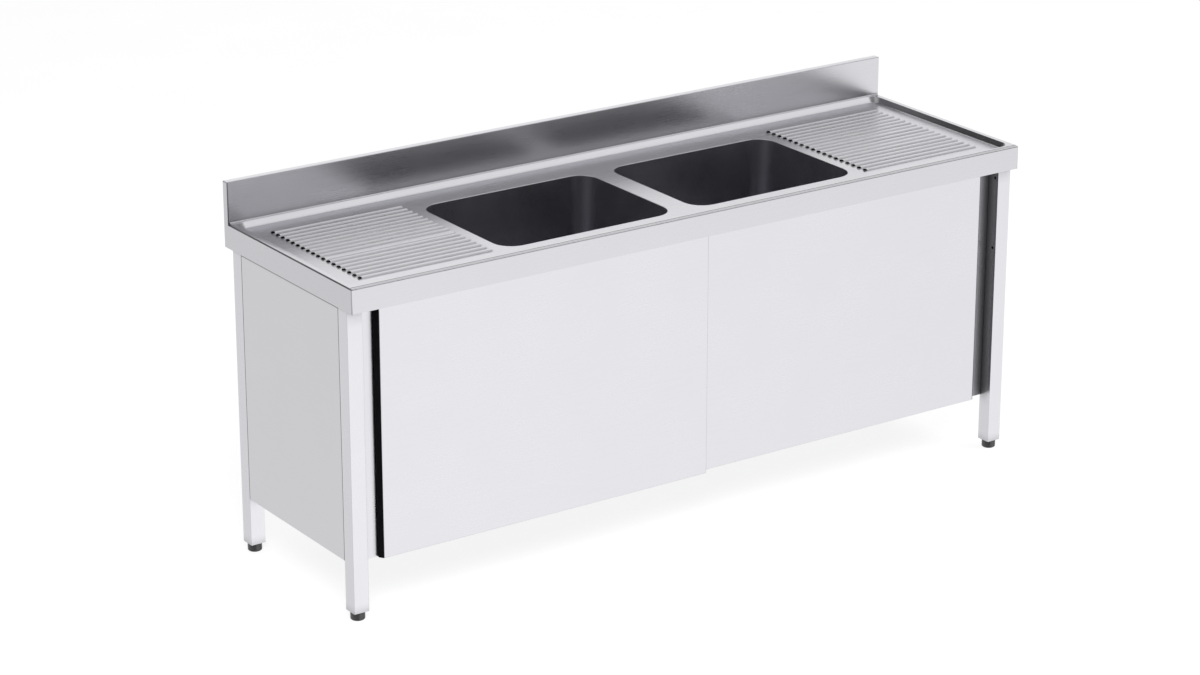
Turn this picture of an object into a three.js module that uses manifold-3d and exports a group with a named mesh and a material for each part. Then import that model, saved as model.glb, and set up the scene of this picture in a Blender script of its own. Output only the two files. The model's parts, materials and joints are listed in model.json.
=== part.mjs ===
// Stainless steel kitchen sink unit: two deep bowls between two ribbed drainers, in a worktop with an
// upstand at the back, on a cabinet with square legs and two top-hung sliding doors.
// Millimetres, +Z up. The origin is on the floor under the middle of the unit; +X is to the right,
// +Y to the back wall. Everything is drawn at rest: doors shut, feet screwed in, plugs in the drains.
import * as THREE from "three";
import { mergeVertices } from "three/addons/utils/BufferGeometryUtils.js";
import Module from "manifold-3d";

const wasm = await Module();
wasm.setup();

// ---------------------------------------------------------------- driving dimensions
const SEAT_GAP = 0.3; // between two pieces that rest on each other
const OVERCUT = 1; // how far a cutting solid stands out of the face it cuts

// Worktop
const LENGTH = 2000;
const DEPTH = 600;
const RIM_HEIGHT = 845; // floor to the raised rim, feet screwed in
const FASCIA_HEIGHT = 62.5;
const FASCIA_LIP = 13; // folded back under the fascia
const TOP_SHEET = 1.5;
const OUTER_EDGE_RADIUS = 5; // rim to fascia
const OUTER_CORNER_RADIUS = 3; // upright corners of the fascia
const UPSTAND_HEIGHT = 105;
const UPSTAND_THICKNESS = 20;
const RIM_WIDTH = 16;
const BACK_LEDGE = 5; // filled by the cove at the upstand's foot
const PAN_DEPTH = 14; // rim down to the pan
const PAN_SLOPE = 7; // how far the pan's walls lean in
const BACK_SLOPE = 12;
const PAN_CORNER_RADIUS = 28;

// Drainers
const RIB_PITCH = 23.9;
const RIB_WIDTH = 14;
const RIB_TOP_WIDTH = 7;
const RIB_HEIGHT = 4;
const RIB_END_SLOPE = 2;
const RIB_TO_BOWL = 32.7; // inner rib ends to the bowl
const RIB_TO_END = 73; // outer rib ends to the end of the worktop
const FIRST_RIB_FROM_FRONT = 89.4;
const LAST_RIB_FROM_BACK = 104.3;

// Bowls
const BOWL_LENGTH = 498;
const BOWL_DEPTH = 250; // pan to bowl floor
const BOWL_SPACING = 62.6; // between the two bowls
const BOWL_TO_RAIL = 4; // front rail to the bowls' flanges
const BOWL_FROM_BACK = 128; // worktop back to bowl
const BOWL_CORNER_RADIUS = 52;
const BOWL_FLOOR_RADIUS = 40;
const BOWL_FLOOR_CORNER_RADIUS = 12;
const BOWL_DRAFT = 10; // how far each wall leans in
const BOWL_SHEET = 1.2;
const BOWL_FLANGE = 12;

// Drain fittings
const DRAIN_BORE_RADIUS = 21;
const DRAIN_TAIL_WALL = 2.9;
const DRAIN_TAIL_LENGTH = 75; // below the bowl's floor
const DRAIN_FLANGE_RADIUS = 43;
const DRAIN_FLANGE_THICKNESS = 2.5;
const DRAIN_FLANGE_CHAMFER = 1.2;
const DRAIN_HOLE_CLEARANCE = 0.6;
const GASKET_RADIUS = 38;
const GASKET_THICKNESS = 3;
const LOCKNUT_RADIUS = 36; // to its corners
const LOCKNUT_SIDES = 6;
const LOCKNUT_THICKNESS = 12;
const PLUG_CLEARANCE = 0.6;
const PLUG_FLANGE_RADIUS = 29;
const PLUG_FLANGE_THICKNESS = 2;
const PLUG_DEPTH = 22;
const PLUG_KNOB_RADIUS = 7;
const PLUG_STEM_RADIUS = 3.5;
const PLUG_STEM_HEIGHT = 5.5;
const PLUG_KNOB_HEIGHT = 5.5;

// Legs and feet
const LEG_SIZE = 40;
const LEG_WALL = 1.5;
const LEG_FRONT_INSET = 25.5; // fascia to the front legs
const LEG_BACK_INSET = 35.5; // back of the worktop to the back legs
const LEG_SIDE_INSET = 2.3; // end of the worktop to the legs
const LEG_HOLE_RADIUS = 4;
const LEG_HOLE_FROM_FRONT = 12.5;
const LEG_HOLES_FROM_TOP = [74.2, 265.2];
const FOOT_HEIGHT = 22; // floor to the leg ends
const FOOT_RADIUS = 18;
const FOOT_CHAMFER = 2.5;
const SPINDLE_RADIUS = 6;
const SPINDLE_LENGTH = 50;
const SPINDLE_CLEARANCE = 0.4;
const INSERT_HEIGHT = 30;

// Cabinet body
const CABINET_BOTTOM = 147;
const PANEL_SHEET = 1.2;
const PANEL_RETURN = 15;
const SHELF_EDGE = 25; // height of the shelf's folded edges
const SHELF_SETBACK = 1.7; // how far the shelf's front edge stands forward of the front legs' backs
const RAIL_SHEET = 1.5;
const RAIL_DEPTH = 37;
const RAIL_MARGIN = 1.5; // how far a rail stands back from the legs' front or back faces
const FRONT_RAIL_HEIGHT = 10.4;
const BACK_RAIL_HEIGHT = 30;
const STIFFENER_WIDTH = 60;
const STIFFENER_FOOT = 15;
const STIFFENER_HEIGHT = 20;
const PIPE_CUTOUT_WIDTH = 400;
const PIPE_CUTOUT_HEIGHT = 200;
const PIPE_CUTOUT_BOTTOM = 250;

// Doors
const DOOR_THICKNESS = 17;
const DOOR_RUNNING_GAP = 1.5; // front door's back to the rear door's face
const DOOR_OVERLAP = 58.4;
const DOOR_OPEN_MARGIN = 5.1; // an open door stops this far short of the other door's outer edge
const DOOR_SHEET = 1;
const FINGER_GAP = 34.1; // leg to the shut door's edge profile
const EDGE_WIDTH = 13; // black edge profile
const EDGE_CHAMFER_DEPTH = 11;
const JAMB_RETURN = 20;
const JAMB_GAP = 1.8; // door's back to jamb

// Track, hangers and rollers
const TRACK_SHEET = 1.5;
const TRACK_WALL_AHEAD = 2; // a channel's front wall stands this far ahead of its door's face
const TRACK_ABOVE_DOOR = 3.7; // door top to the underside of the ledges
const LEDGE_TO_HANGER = 0.9;
const ROLLER_RADIUS = 10;
const ROLLER_WIDTH = 4.8;
const ROLLER_TO_HANGER = 1.2;
const ROLLER_TOP_CLEARANCE = 1.5;
const AXLE_RADIUS = 3;
const AXLE_CLEARANCE = 0.2;
const AXLE_HEAD_RADIUS = 5;
const AXLE_HEAD_THICKNESS = 0.5;
const AXLE_HEAD_TO_WALL = 0.4;
const HANGER_PLATE = 2.5;
const HANGER_HALF_WIDTH = 30;
const HANGER_TAB = 8;
const HANGER_TAB_THICKNESS = 2;
const HANGER_FROM_EDGE = 100; // door's edge to the middle of a hanger
const HANGER_ABOVE_AXLE = 7;
const STOP_LENGTH = 14;
const STOP_HEIGHT = 16.5;
const STOP_TO_WALL = 2.7; // stop to the wall behind it

// Door guide
const GUIDE_HALF_WIDTH = 20;
const GUIDE_SHEET = 1.2;
const GUIDE_DOOR_GAP = 0.5;
const FIN_THICKNESS = 3.5;
const FIN_CLEARANCE = 1.75; // to each side of the slot
const FIN_HEIGHT = 10;
const GUIDE_TAB_HEIGHT = 18;

// Faceting
const CORNER_STEPS = 6;
const EDGE_STEPS = 3;
const ROUND_STEPS = 24;
const FLOOR_RADIUS_STEPS = 4;

// ---------------------------------------------------------------- places worked out from the sizes
const END_X = LENGTH / 2;
const FRONT_Y = -DEPTH / 2;
const BACK_Y = DEPTH / 2;
const FASCIA_BOTTOM = RIM_HEIGHT - FASCIA_HEIGHT;
const PAN_Z = RIM_HEIGHT - PAN_DEPTH;
const UNDER_PAN = PAN_Z - TOP_SHEET - SEAT_GAP; // where the pieces under the pan end
const UPSTAND_FRONT_Y = BACK_Y - UPSTAND_THICKNESS;

const LEG_OUTER_X = END_X - LEG_SIDE_INSET;
const LEG_INNER_X = LEG_OUTER_X - LEG_SIZE;
const LEG_CENTRE_X = LEG_INNER_X + LEG_SIZE / 2;
const FRONT_LEG_Y = FRONT_Y + LEG_FRONT_INSET;
const FRONT_LEG_BACK_Y = FRONT_LEG_Y + LEG_SIZE;
const BACK_LEG_BACK_Y = BACK_Y - LEG_BACK_INSET;
const BACK_LEG_Y = BACK_LEG_BACK_Y - LEG_SIZE;
const BETWEEN_LEGS_X = LEG_INNER_X - SEAT_GAP; // half the length that fits between the legs

const FRONT_RAIL_Y = FRONT_LEG_Y + RAIL_MARGIN;
const FRONT_RAIL_BACK_Y = FRONT_RAIL_Y + RAIL_DEPTH;
const BACK_RAIL_Y = BACK_LEG_BACK_Y - RAIL_MARGIN - RAIL_DEPTH;

const BOWL_FRONT_Y = FRONT_RAIL_BACK_Y + BOWL_TO_RAIL + BOWL_FLANGE;
const BOWL_WIDTH = BACK_Y - BOWL_FROM_BACK - BOWL_FRONT_Y;
const BOWL_CENTRE_Y = BOWL_FRONT_Y + BOWL_WIDTH / 2;
const BOWL_CENTRE_X = (BOWL_SPACING + BOWL_LENGTH) / 2;
const BOWL_OUTER_X = BOWL_SPACING / 2 + BOWL_LENGTH;
const BOWL_FLOOR_Z = PAN_Z - BOWL_DEPTH;

const RIB_INNER_X = BOWL_OUTER_X + RIB_TO_BOWL;
const RIB_OUTER_X = END_X - RIB_TO_END;
const RIB_COUNT = 1 + Math.round((DEPTH - FIRST_RIB_FROM_FRONT - LAST_RIB_FROM_BACK) / RIB_PITCH);

const TAIL_RADIUS = DRAIN_BORE_RADIUS + DRAIN_TAIL_WALL;
const DRAIN_FLANGE_BOTTOM = BOWL_FLOOR_Z + SEAT_GAP;
const DRAIN_FLANGE_TOP = DRAIN_FLANGE_BOTTOM + DRAIN_FLANGE_THICKNESS;
const GASKET_TOP = BOWL_FLOOR_Z - BOWL_SHEET - SEAT_GAP;
const LOCKNUT_TOP = GASKET_TOP - GASKET_THICKNESS - SEAT_GAP;

const SHELF_Z = CABINET_BOTTOM + SHELF_EDGE;
const SHELF_FRONT_Y = FRONT_LEG_BACK_Y - SHELF_SETBACK;

const REAR_DOOR_BACK_Y = SHELF_FRONT_Y - SEAT_GAP - PANEL_SHEET - JAMB_GAP;
const REAR_DOOR_Y = REAR_DOOR_BACK_Y - DOOR_THICKNESS;
const FRONT_DOOR_Y = REAR_DOOR_Y - DOOR_RUNNING_GAP - DOOR_THICKNESS;
const DOOR_INNER_X = DOOR_OVERLAP / 2; // of the left door; the right door mirrors it
const DOOR_OUTER_X = -(LEG_INNER_X - FINGER_GAP - EDGE_WIDTH - SEAT_GAP);
const DOOR_TRAVEL = -DOOR_OUTER_X - DOOR_INNER_X - DOOR_OPEN_MARGIN;
const DOOR_SLOT_LIP = (DOOR_THICKNESS - FIN_THICKNESS) / 2 - FIN_CLEARANCE; // lips beside the guide slot

const TRACK_TOP = UNDER_PAN - FRONT_RAIL_HEIGHT - SEAT_GAP;
const TRACK_WEB_Z = TRACK_TOP - TRACK_SHEET;
const AXLE_Z = TRACK_WEB_Z - ROLLER_TOP_CLEARANCE - ROLLER_RADIUS;
const LEDGE_TOP = AXLE_Z - ROLLER_RADIUS - SEAT_GAP;
const LEDGE_BOTTOM = LEDGE_TOP - TRACK_SHEET;
const DOOR_TOP = LEDGE_BOTTOM - TRACK_ABOVE_DOOR;
// Across a channel, counted back from its door's face
const LEDGE_START = TRACK_SHEET - TRACK_WALL_AHEAD;
const ROLLER_FRONT = LEDGE_START + AXLE_HEAD_TO_WALL + AXLE_HEAD_THICKNESS + SEAT_GAP;
const ROLLER_BACK = ROLLER_FRONT + ROLLER_WIDTH;
const HANGER_FRONT = ROLLER_BACK + ROLLER_TO_HANGER;
const LEDGE_END = HANGER_FRONT - LEDGE_TO_HANGER;

// ---------------------------------------------------------------- solids
function toSolid(geometry) {
  const bare = geometry.index ? geometry.toNonIndexed() : geometry.clone();
  bare.deleteAttribute("normal");
  bare.deleteAttribute("uv");
  const merged = mergeVertices(bare, 1e-4);
  return new wasm.Manifold(
    new wasm.Mesh({
      numProp: 3,
      vertProperties: new Float32Array(merged.attributes.position.array),
      triVerts: new Uint32Array(merged.index.array),
    }),
  );
}

function toGeometry(solid) {
  const mesh = solid.getMesh();
  const positions = new Float32Array(mesh.numVert * 3);
  for (let i = 0; i < mesh.numVert; i += 1) {
    const start = i * mesh.numProp;
    positions.set(mesh.vertProperties.subarray(start, start + 3), i * 3);
  }
  const geometry = new THREE.BufferGeometry();
  geometry.setAttribute("position", new THREE.BufferAttribute(positions, 3));
  geometry.setIndex(new THREE.BufferAttribute(new Uint32Array(mesh.triVerts), 1));
  geometry.computeVertexNormals();
  return geometry;
}

function union(solids) {
  return solids.reduce((whole, next) => whole.add(next));
}

// A box between two corners, given as [low, high] along each axis.
function box([x0, x1], [y0, y1], [z0, z1]) {
  const geometry = new THREE.BoxGeometry(x1 - x0, y1 - y0, z1 - z0);
  geometry.translate((x0 + x1) / 2, (y0 + y1) / 2, (z0 + z1) / 2);
  return toSolid(geometry);
}

function spanAround(centre, halfWidth) {
  return [centre - halfWidth, centre + halfWidth];
}

// The span [low, high], turned over when the piece is on the other side of the middle plane.
function mirrored([low, high], side) {
  return side > 0 ? [low, high] : [-high, -low];
}

function extrusion(points, length) {
  const shape = new THREE.Shape(points.map(([a, b]) => new THREE.Vector2(a, b)));
  return new THREE.ExtrudeGeometry(shape, { depth: length, bevelEnabled: false });
}

// An outline in X and Y, drawn up from z0 to z1.
function extrudeUp(points, [z0, z1]) {
  const geometry = extrusion(points, z1 - z0);
  geometry.translate(0, 0, z0);
  return toSolid(geometry);
}

// An outline in X and Z, drawn back from y0 to y1.
function extrudeBack(points, [y0, y1]) {
  const geometry = extrusion(points, y1 - y0);
  geometry.rotateX(Math.PI / 2);
  geometry.translate(0, y1, 0);
  return toSolid(geometry);
}

// An outline in Y and Z, drawn across from x0 to x1.
function extrudeAcross(points, [x0, x1]) {
  const geometry = extrusion(points, x1 - x0);
  geometry.rotateX(Math.PI / 2);
  geometry.rotateZ(Math.PI / 2);
  geometry.translate(x0, 0, 0);
  return toSolid(geometry);
}

// A solid of revolution about the upright axis. The profile holds [radius, z] points, anticlockwise.
function turned(profile) {
  const points = [...profile, profile[0]].map(([r, z]) => new THREE.Vector2(r, z));
  const geometry = new THREE.LatheGeometry(points, ROUND_STEPS);
  geometry.rotateX(Math.PI / 2);
  return toSolid(geometry);
}

function tube(innerRadius, outerRadius, [z0, z1]) {
  return turned([
    [innerRadius, z0],
    [outerRadius, z0],
    [outerRadius, z1],
    [innerRadius, z1],
  ]);
}

// A cylinder along Y, about the axis x = 0, z = 0.
function rodBack(radius, [y0, y1]) {
  const geometry = new THREE.CylinderGeometry(radius, radius, y1 - y0, ROUND_STEPS);
  geometry.translate(0, (y0 + y1) / 2, 0);
  return toSolid(geometry);
}

// A cylinder along X.
function rodAcross(radius, [x0, x1], y, z) {
  const geometry = new THREE.CylinderGeometry(radius, radius, x1 - x0, ROUND_STEPS);
  geometry.rotateZ(Math.PI / 2);
  geometry.translate((x0 + x1) / 2, y, z);
  return toSolid(geometry);
}

// The points of a level rectangle with round corners, anticlockwise from above.
function roundedRing([x0, x1], [y0, y1], radius, z) {
  const corners = [
    [x1 - radius, y1 - radius],
    [x0 + radius, y1 - radius],
    [x0 + radius, y0 + radius],
    [x1 - radius, y0 + radius],
  ];
  return corners.flatMap(([cx, cy], quarter) =>
    Array.from({ length: CORNER_STEPS + 1 }, (_, i) => {
      const angle = (quarter + i / CORNER_STEPS) * (Math.PI / 2);
      return [cx + radius * Math.cos(angle), cy + radius * Math.sin(angle), z];
    }),
  );
}

// A closed solid through level rings of equal length, from the lowest ring to the highest.
function loft(rings) {
  const count = rings[0].length;
  const corners = [];
  const addTriangle = (...points) => corners.push(...points.flat());
  for (let level = 1; level < rings.length; level += 1) {
    const lower = rings[level - 1];
    const upper = rings[level];
    for (let i = 0; i < count; i += 1) {
      const next = (i + 1) % count;
      addTriangle(lower[i], lower[next], upper[next]);
      addTriangle(lower[i], upper[next], upper[i]);
    }
  }
  const bottom = rings[0];
  const top = rings[rings.length - 1];
  for (let i = 1; i < count - 1; i += 1) {
    addTriangle(bottom[0], bottom[i + 1], bottom[i]);
    addTriangle(top[0], top[i], top[i + 1]);
  }
  const geometry = new THREE.BufferGeometry();
  geometry.setAttribute("position", new THREE.Float32BufferAttribute(corners, 3));
  return toSolid(geometry);
}

// ---------------------------------------------------------------- worktop and bowls
// The worktop's outside below the upstand, shrunk by some thickness everywhere but underneath.
function slab(inset, bottom) {
  const edge = OUTER_EDGE_RADIUS - inset;
  const ring = (lean, z) =>
    roundedRing(
      [-END_X + inset + lean, END_X - inset - lean],
      [FRONT_Y + inset + lean, BACK_Y - inset - lean],
      OUTER_CORNER_RADIUS - inset + lean,
      z,
    );
  const rings = [ring(0, bottom)];
  for (let i = 0; i <= EDGE_STEPS; i += 1) {
    const angle = (i / EDGE_STEPS) * (Math.PI / 2);
    rings.push(ring(edge * (1 - Math.cos(angle)), RIM_HEIGHT - inset - edge * (1 - Math.sin(angle))));
  }
  return loft(rings);
}

function upstand(inset, bottom) {
  return box(
    [-END_X + inset, END_X - inset],
    [UPSTAND_FRONT_Y + inset, BACK_Y - inset],
    [bottom, RIM_HEIGHT + UPSTAND_HEIGHT - inset],
  );
}

// The hollow fillet between the rim and the upstand.
function upstandCove() {
  const root = TOP_SHEET / 2;
  const arc = Array.from({ length: EDGE_STEPS + 1 }, (_, i) => {
    const angle = (i / EDGE_STEPS) * (Math.PI / 2);
    const across = BACK_LEDGE * (1 - Math.sin(angle));
    const up = BACK_LEDGE * (1 - Math.cos(angle));
    return [UPSTAND_FRONT_Y - across, RIM_HEIGHT + up];
  });
  const section = [
    [UPSTAND_FRONT_Y - BACK_LEDGE, RIM_HEIGHT - root],
    [UPSTAND_FRONT_Y + root, RIM_HEIGHT - root],
    [UPSTAND_FRONT_Y + root, RIM_HEIGHT + BACK_LEDGE],
    ...arc.reverse(),
  ];
  return extrudeAcross(section, spanAround(0, END_X - OUTER_EDGE_RADIUS));
}

// The pan's hollow, grown by some thickness on its sides and underneath.
function panHollow(grow) {
  const ring = (lean, backLean, z) =>
    roundedRing(
      [-END_X + RIM_WIDTH + lean - grow, END_X - RIM_WIDTH - lean + grow],
      [FRONT_Y + RIM_WIDTH + lean - grow, UPSTAND_FRONT_Y - BACK_LEDGE - backLean + grow],
      PAN_CORNER_RADIUS - lean + grow,
      z,
    );
  return loft([
    ring(PAN_SLOPE, BACK_SLOPE, PAN_Z - grow),
    ring(0, 0, RIM_HEIGHT),
    ring(0, 0, RIM_HEIGHT + OVERCUT),
  ]);
}

function drainerRib(side, index) {
  const [x0, x1] = mirrored([RIB_INNER_X, RIB_OUTER_X], side);
  const y = FRONT_Y + FIRST_RIB_FROM_FRONT + index * RIB_PITCH;
  const rectangle = (lean, halfWidth, z) => [
    [x1 - lean, y + halfWidth, z],
    [x0 + lean, y + halfWidth, z],
    [x0 + lean, y - halfWidth, z],
    [x1 - lean, y - halfWidth, z],
  ];
  return loft([
    rectangle(0, RIB_WIDTH / 2, PAN_Z - TOP_SHEET / 2),
    rectangle(0, RIB_WIDTH / 2, PAN_Z),
    rectangle(RIB_END_SLOPE, RIB_TOP_WIDTH / 2, PAN_Z + RIB_HEIGHT),
  ]);
}

// A level ring of the bowl's outline about x = 0, moved in from the opening's edge.
function bowlRing(inset, radius, z) {
  return roundedRing(
    spanAround(0, BOWL_LENGTH / 2 - inset),
    spanAround(BOWL_CENTRE_Y, BOWL_WIDTH / 2 - inset),
    radius,
    z,
  );
}

function bowlOpening(side) {
  const span = [PAN_Z - TOP_SHEET - OVERCUT, PAN_Z + OVERCUT];
  return loft(span.map((z) => bowlRing(0, BOWL_CORNER_RADIUS, z))).translate([side * BOWL_CENTRE_X, 0, 0]);
}

function worktop() {
  const below = FASCIA_BOTTOM - OVERCUT;
  const outside = union([slab(0, FASCIA_BOTTOM), upstand(0, FASCIA_BOTTOM), upstandCove()]);
  const hollow = slab(TOP_SHEET, below).add(upstand(TOP_SHEET, below)).subtract(panHollow(TOP_SHEET));
  const lip = box(
    spanAround(0, END_X - TOP_SHEET / 2),
    [FRONT_Y + TOP_SHEET / 2, FRONT_Y + FASCIA_LIP],
    [FASCIA_BOTTOM, FASCIA_BOTTOM + TOP_SHEET],
  );
  let sheet = outside.subtract(hollow).subtract(panHollow(0)).add(lip);
  for (const side of [-1, 1]) {
    const ribs = Array.from({ length: RIB_COUNT }, (_, index) => drainerRib(side, index));
    sheet = sheet.add(union(ribs)).subtract(bowlOpening(side));
  }
  return sheet;
}

// A bowl's hollow, from its floor to the given top, grown by some thickness outside.
function bowlHollow(grow, top) {
  const rings = [];
  for (let i = 0; i <= FLOOR_RADIUS_STEPS; i += 1) {
    const angle = (i / FLOOR_RADIUS_STEPS) * (Math.PI / 2);
    const lean = BOWL_FLOOR_RADIUS * (1 - Math.sin(angle));
    const rise = BOWL_FLOOR_RADIUS * (1 - Math.cos(angle));
    const corner = Math.max(BOWL_CORNER_RADIUS - BOWL_DRAFT / 2 - lean, BOWL_FLOOR_CORNER_RADIUS) + grow;
    rings.push(bowlRing(BOWL_DRAFT + lean - grow, corner, BOWL_FLOOR_Z + rise - grow * Math.cos(angle)));
  }
  rings.push(bowlRing(-grow, BOWL_CORNER_RADIUS + grow, top));
  return loft(rings);
}

function bowl() {
  const flangeSpan = [UNDER_PAN - BOWL_SHEET, UNDER_PAN];
  const flange = loft(flangeSpan.map((z) => bowlRing(-BOWL_FLANGE, BOWL_CORNER_RADIUS + BOWL_FLANGE, z)));
  const holeSpan = [BOWL_FLOOR_Z - BOWL_SHEET - OVERCUT, BOWL_FLOOR_Z + OVERCUT];
  const hole = tube(0, TAIL_RADIUS + DRAIN_HOLE_CLEARANCE, holeSpan).translate([0, BOWL_CENTRE_Y, 0]);
  return bowlHollow(BOWL_SHEET, UNDER_PAN)
    .add(flange)
    .subtract(bowlHollow(0, UNDER_PAN + OVERCUT))
    .subtract(hole);
}

// ---------------------------------------------------------------- drain fittings, about x = 0, y = 0
function drainBody() {
  return turned([
    [DRAIN_BORE_RADIUS, BOWL_FLOOR_Z - DRAIN_TAIL_LENGTH],
    [TAIL_RADIUS, BOWL_FLOOR_Z - DRAIN_TAIL_LENGTH],
    [TAIL_RADIUS, DRAIN_FLANGE_BOTTOM],
    [DRAIN_FLANGE_RADIUS, DRAIN_FLANGE_BOTTOM],
    [DRAIN_FLANGE_RADIUS, DRAIN_FLANGE_TOP - DRAIN_FLANGE_CHAMFER],
    [DRAIN_FLANGE_RADIUS - DRAIN_FLANGE_CHAMFER, DRAIN_FLANGE_TOP],
    [DRAIN_BORE_RADIUS, DRAIN_FLANGE_TOP],
  ]);
}

function drainGasket() {
  return tube(TAIL_RADIUS + SEAT_GAP, GASKET_RADIUS, [GASKET_TOP - GASKET_THICKNESS, GASKET_TOP]);
}

function drainLocknut() {
  const bottom = LOCKNUT_TOP - LOCKNUT_THICKNESS;
  const corners = Array.from({ length: LOCKNUT_SIDES }, (_, i) => {
    const angle = (i / LOCKNUT_SIDES) * 2 * Math.PI;
    return [LOCKNUT_RADIUS * Math.cos(angle), LOCKNUT_RADIUS * Math.sin(angle)];
  });
  const bore = tube(0, TAIL_RADIUS + SEAT_GAP, [bottom - OVERCUT, LOCKNUT_TOP + OVERCUT]);
  return extrudeUp(corners, [bottom, LOCKNUT_TOP]).subtract(bore);
}

function drainPlug() {
  const seat = DRAIN_FLANGE_TOP + SEAT_GAP;
  const flangeTop = seat + PLUG_FLANGE_THICKNESS;
  const stemTop = flangeTop + PLUG_STEM_HEIGHT;
  const knobTop = stemTop + PLUG_KNOB_HEIGHT;
  const bodyRadius = DRAIN_BORE_RADIUS - PLUG_CLEARANCE;
  return turned([
    [0, seat - PLUG_DEPTH],
    [bodyRadius, seat - PLUG_DEPTH],
    [bodyRadius, seat],
    [PLUG_FLANGE_RADIUS, seat],
    [PLUG_FLANGE_RADIUS, flangeTop],
    [PLUG_STEM_RADIUS, flangeTop],
    [PLUG_STEM_RADIUS, stemTop],
    [PLUG_KNOB_RADIUS, stemTop],
    [PLUG_KNOB_RADIUS, knobTop],
    [0, knobTop],
  ]);
}

// ---------------------------------------------------------------- legs and feet
// A leg stands on its foot's axis, x = 0, y = 0. The side says which way its drilled inner face looks.
function leg(side, drilled) {
  const half = LEG_SIZE / 2;
  const outside = box(spanAround(0, half), spanAround(0, half), [FOOT_HEIGHT, UNDER_PAN]);
  const inside = box(
    spanAround(0, half - LEG_WALL),
    spanAround(0, half - LEG_WALL),
    [FOOT_HEIGHT - OVERCUT, UNDER_PAN + OVERCUT],
  );
  const square = outside.subtract(inside);
  if (!drilled) return square;
  const drillSpan = mirrored([-half - OVERCUT, -half + LEG_WALL + OVERCUT], side);
  const holes = LEG_HOLES_FROM_TOP.map((fromTop) =>
    rodAcross(LEG_HOLE_RADIUS, drillSpan, LEG_HOLE_FROM_FRONT - half, UNDER_PAN - fromTop),
  );
  return square.subtract(union(holes));
}

function legInsert() {
  const half = LEG_SIZE / 2 - LEG_WALL - SEAT_GAP;
  const top = FOOT_HEIGHT + INSERT_HEIGHT;
  const thread = tube(0, SPINDLE_RADIUS + SPINDLE_CLEARANCE, [FOOT_HEIGHT - OVERCUT, top + OVERCUT]);
  return box(spanAround(0, half), spanAround(0, half), [FOOT_HEIGHT, top]).subtract(thread);
}

function foot() {
  const top = FOOT_HEIGHT - SEAT_GAP;
  return turned([
    [0, 0],
    [FOOT_RADIUS - FOOT_CHAMFER, 0],
    [FOOT_RADIUS, FOOT_CHAMFER],
    [FOOT_RADIUS, top],
    [SPINDLE_RADIUS, top],
    [SPINDLE_RADIUS, top + SPINDLE_LENGTH],
    [0, top + SPINDLE_LENGTH],
  ]);
}

// ---------------------------------------------------------------- cabinet body
// A rail under the worktop between two legs: a channel that is open at the bottom.
function rail(y0, height) {
  const y1 = y0 + RAIL_DEPTH;
  const bottom = UNDER_PAN - height;
  const section = [
    [y0, bottom],
    [y0 + RAIL_SHEET, bottom],
    [y0 + RAIL_SHEET, UNDER_PAN - RAIL_SHEET],
    [y1 - RAIL_SHEET, UNDER_PAN - RAIL_SHEET],
    [y1 - RAIL_SHEET, bottom],
    [y1, bottom],
    [y1, UNDER_PAN],
    [y0, UNDER_PAN],
  ];
  return extrudeAcross(section, spanAround(0, BETWEEN_LEGS_X));
}

// The section of a hat-shaped stiffener whose feet lie against the sheet above it.
function hatSection(centre, top) {
  const footEnd = STIFFENER_WIDTH / 2;
  const webEnd = footEnd - STIFFENER_FOOT;
  const bottom = top - STIFFENER_HEIGHT;
  return [
    [centre - footEnd, top],
    [centre - footEnd, top - RAIL_SHEET],
    [centre - webEnd, top - RAIL_SHEET],
    [centre - webEnd, bottom],
    [centre + webEnd, bottom],
    [centre + webEnd, top - RAIL_SHEET],
    [centre + footEnd, top - RAIL_SHEET],
    [centre + footEnd, top],
    [centre + webEnd - RAIL_SHEET, top],
    [centre + webEnd - RAIL_SHEET, bottom + RAIL_SHEET],
    [centre - webEnd + RAIL_SHEET, bottom + RAIL_SHEET],
    [centre - webEnd + RAIL_SHEET, top],
  ];
}

function drainerStiffener(side) {
  const centre = (side * (RIB_INNER_X + RIB_OUTER_X)) / 2;
  const betweenRails = [FRONT_RAIL_BACK_Y + SEAT_GAP, BACK_RAIL_Y - SEAT_GAP];
  return extrudeBack(hatSection(centre, UNDER_PAN), betweenRails);
}

function shelfStiffener() {
  const halfLength = BETWEEN_LEGS_X - PANEL_SHEET - SEAT_GAP;
  const centreY = (SHELF_FRONT_Y + BACK_LEG_BACK_Y) / 2;
  return extrudeAcross(hatSection(centreY, SHELF_Z - PANEL_SHEET - SEAT_GAP), spanAround(0, halfLength));
}

function sidePanel(side) {
  const y0 = FRONT_LEG_BACK_Y + SEAT_GAP;
  const y1 = BACK_LEG_Y - SEAT_GAP;
  const innerX = LEG_OUTER_X - PANEL_RETURN;
  const plan = [
    [innerX, y0],
    [LEG_OUTER_X, y0],
    [LEG_OUTER_X, y1],
    [innerX, y1],
    [innerX, y1 - PANEL_SHEET],
    [LEG_OUTER_X - PANEL_SHEET, y1 - PANEL_SHEET],
    [LEG_OUTER_X - PANEL_SHEET, y0 + PANEL_SHEET],
    [innerX, y0 + PANEL_SHEET],
  ];
  return extrudeUp(plan.map(([x, y]) => [side * x, y]), [CABINET_BOTTOM, UNDER_PAN]);
}

function backPanel() {
  const thickness = [BACK_LEG_BACK_Y - PANEL_SHEET, BACK_LEG_BACK_Y];
  const sheet = box(spanAround(0, BETWEEN_LEGS_X), thickness, [CABINET_BOTTOM, UNDER_PAN]);
  const cutout = box(
    spanAround(0, PIPE_CUTOUT_WIDTH / 2),
    [thickness[0] - OVERCUT, thickness[1] + OVERCUT],
    [PIPE_CUTOUT_BOTTOM, PIPE_CUTOUT_BOTTOM + PIPE_CUTOUT_HEIGHT],
  );
  return sheet.subtract(cutout);
}

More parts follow.
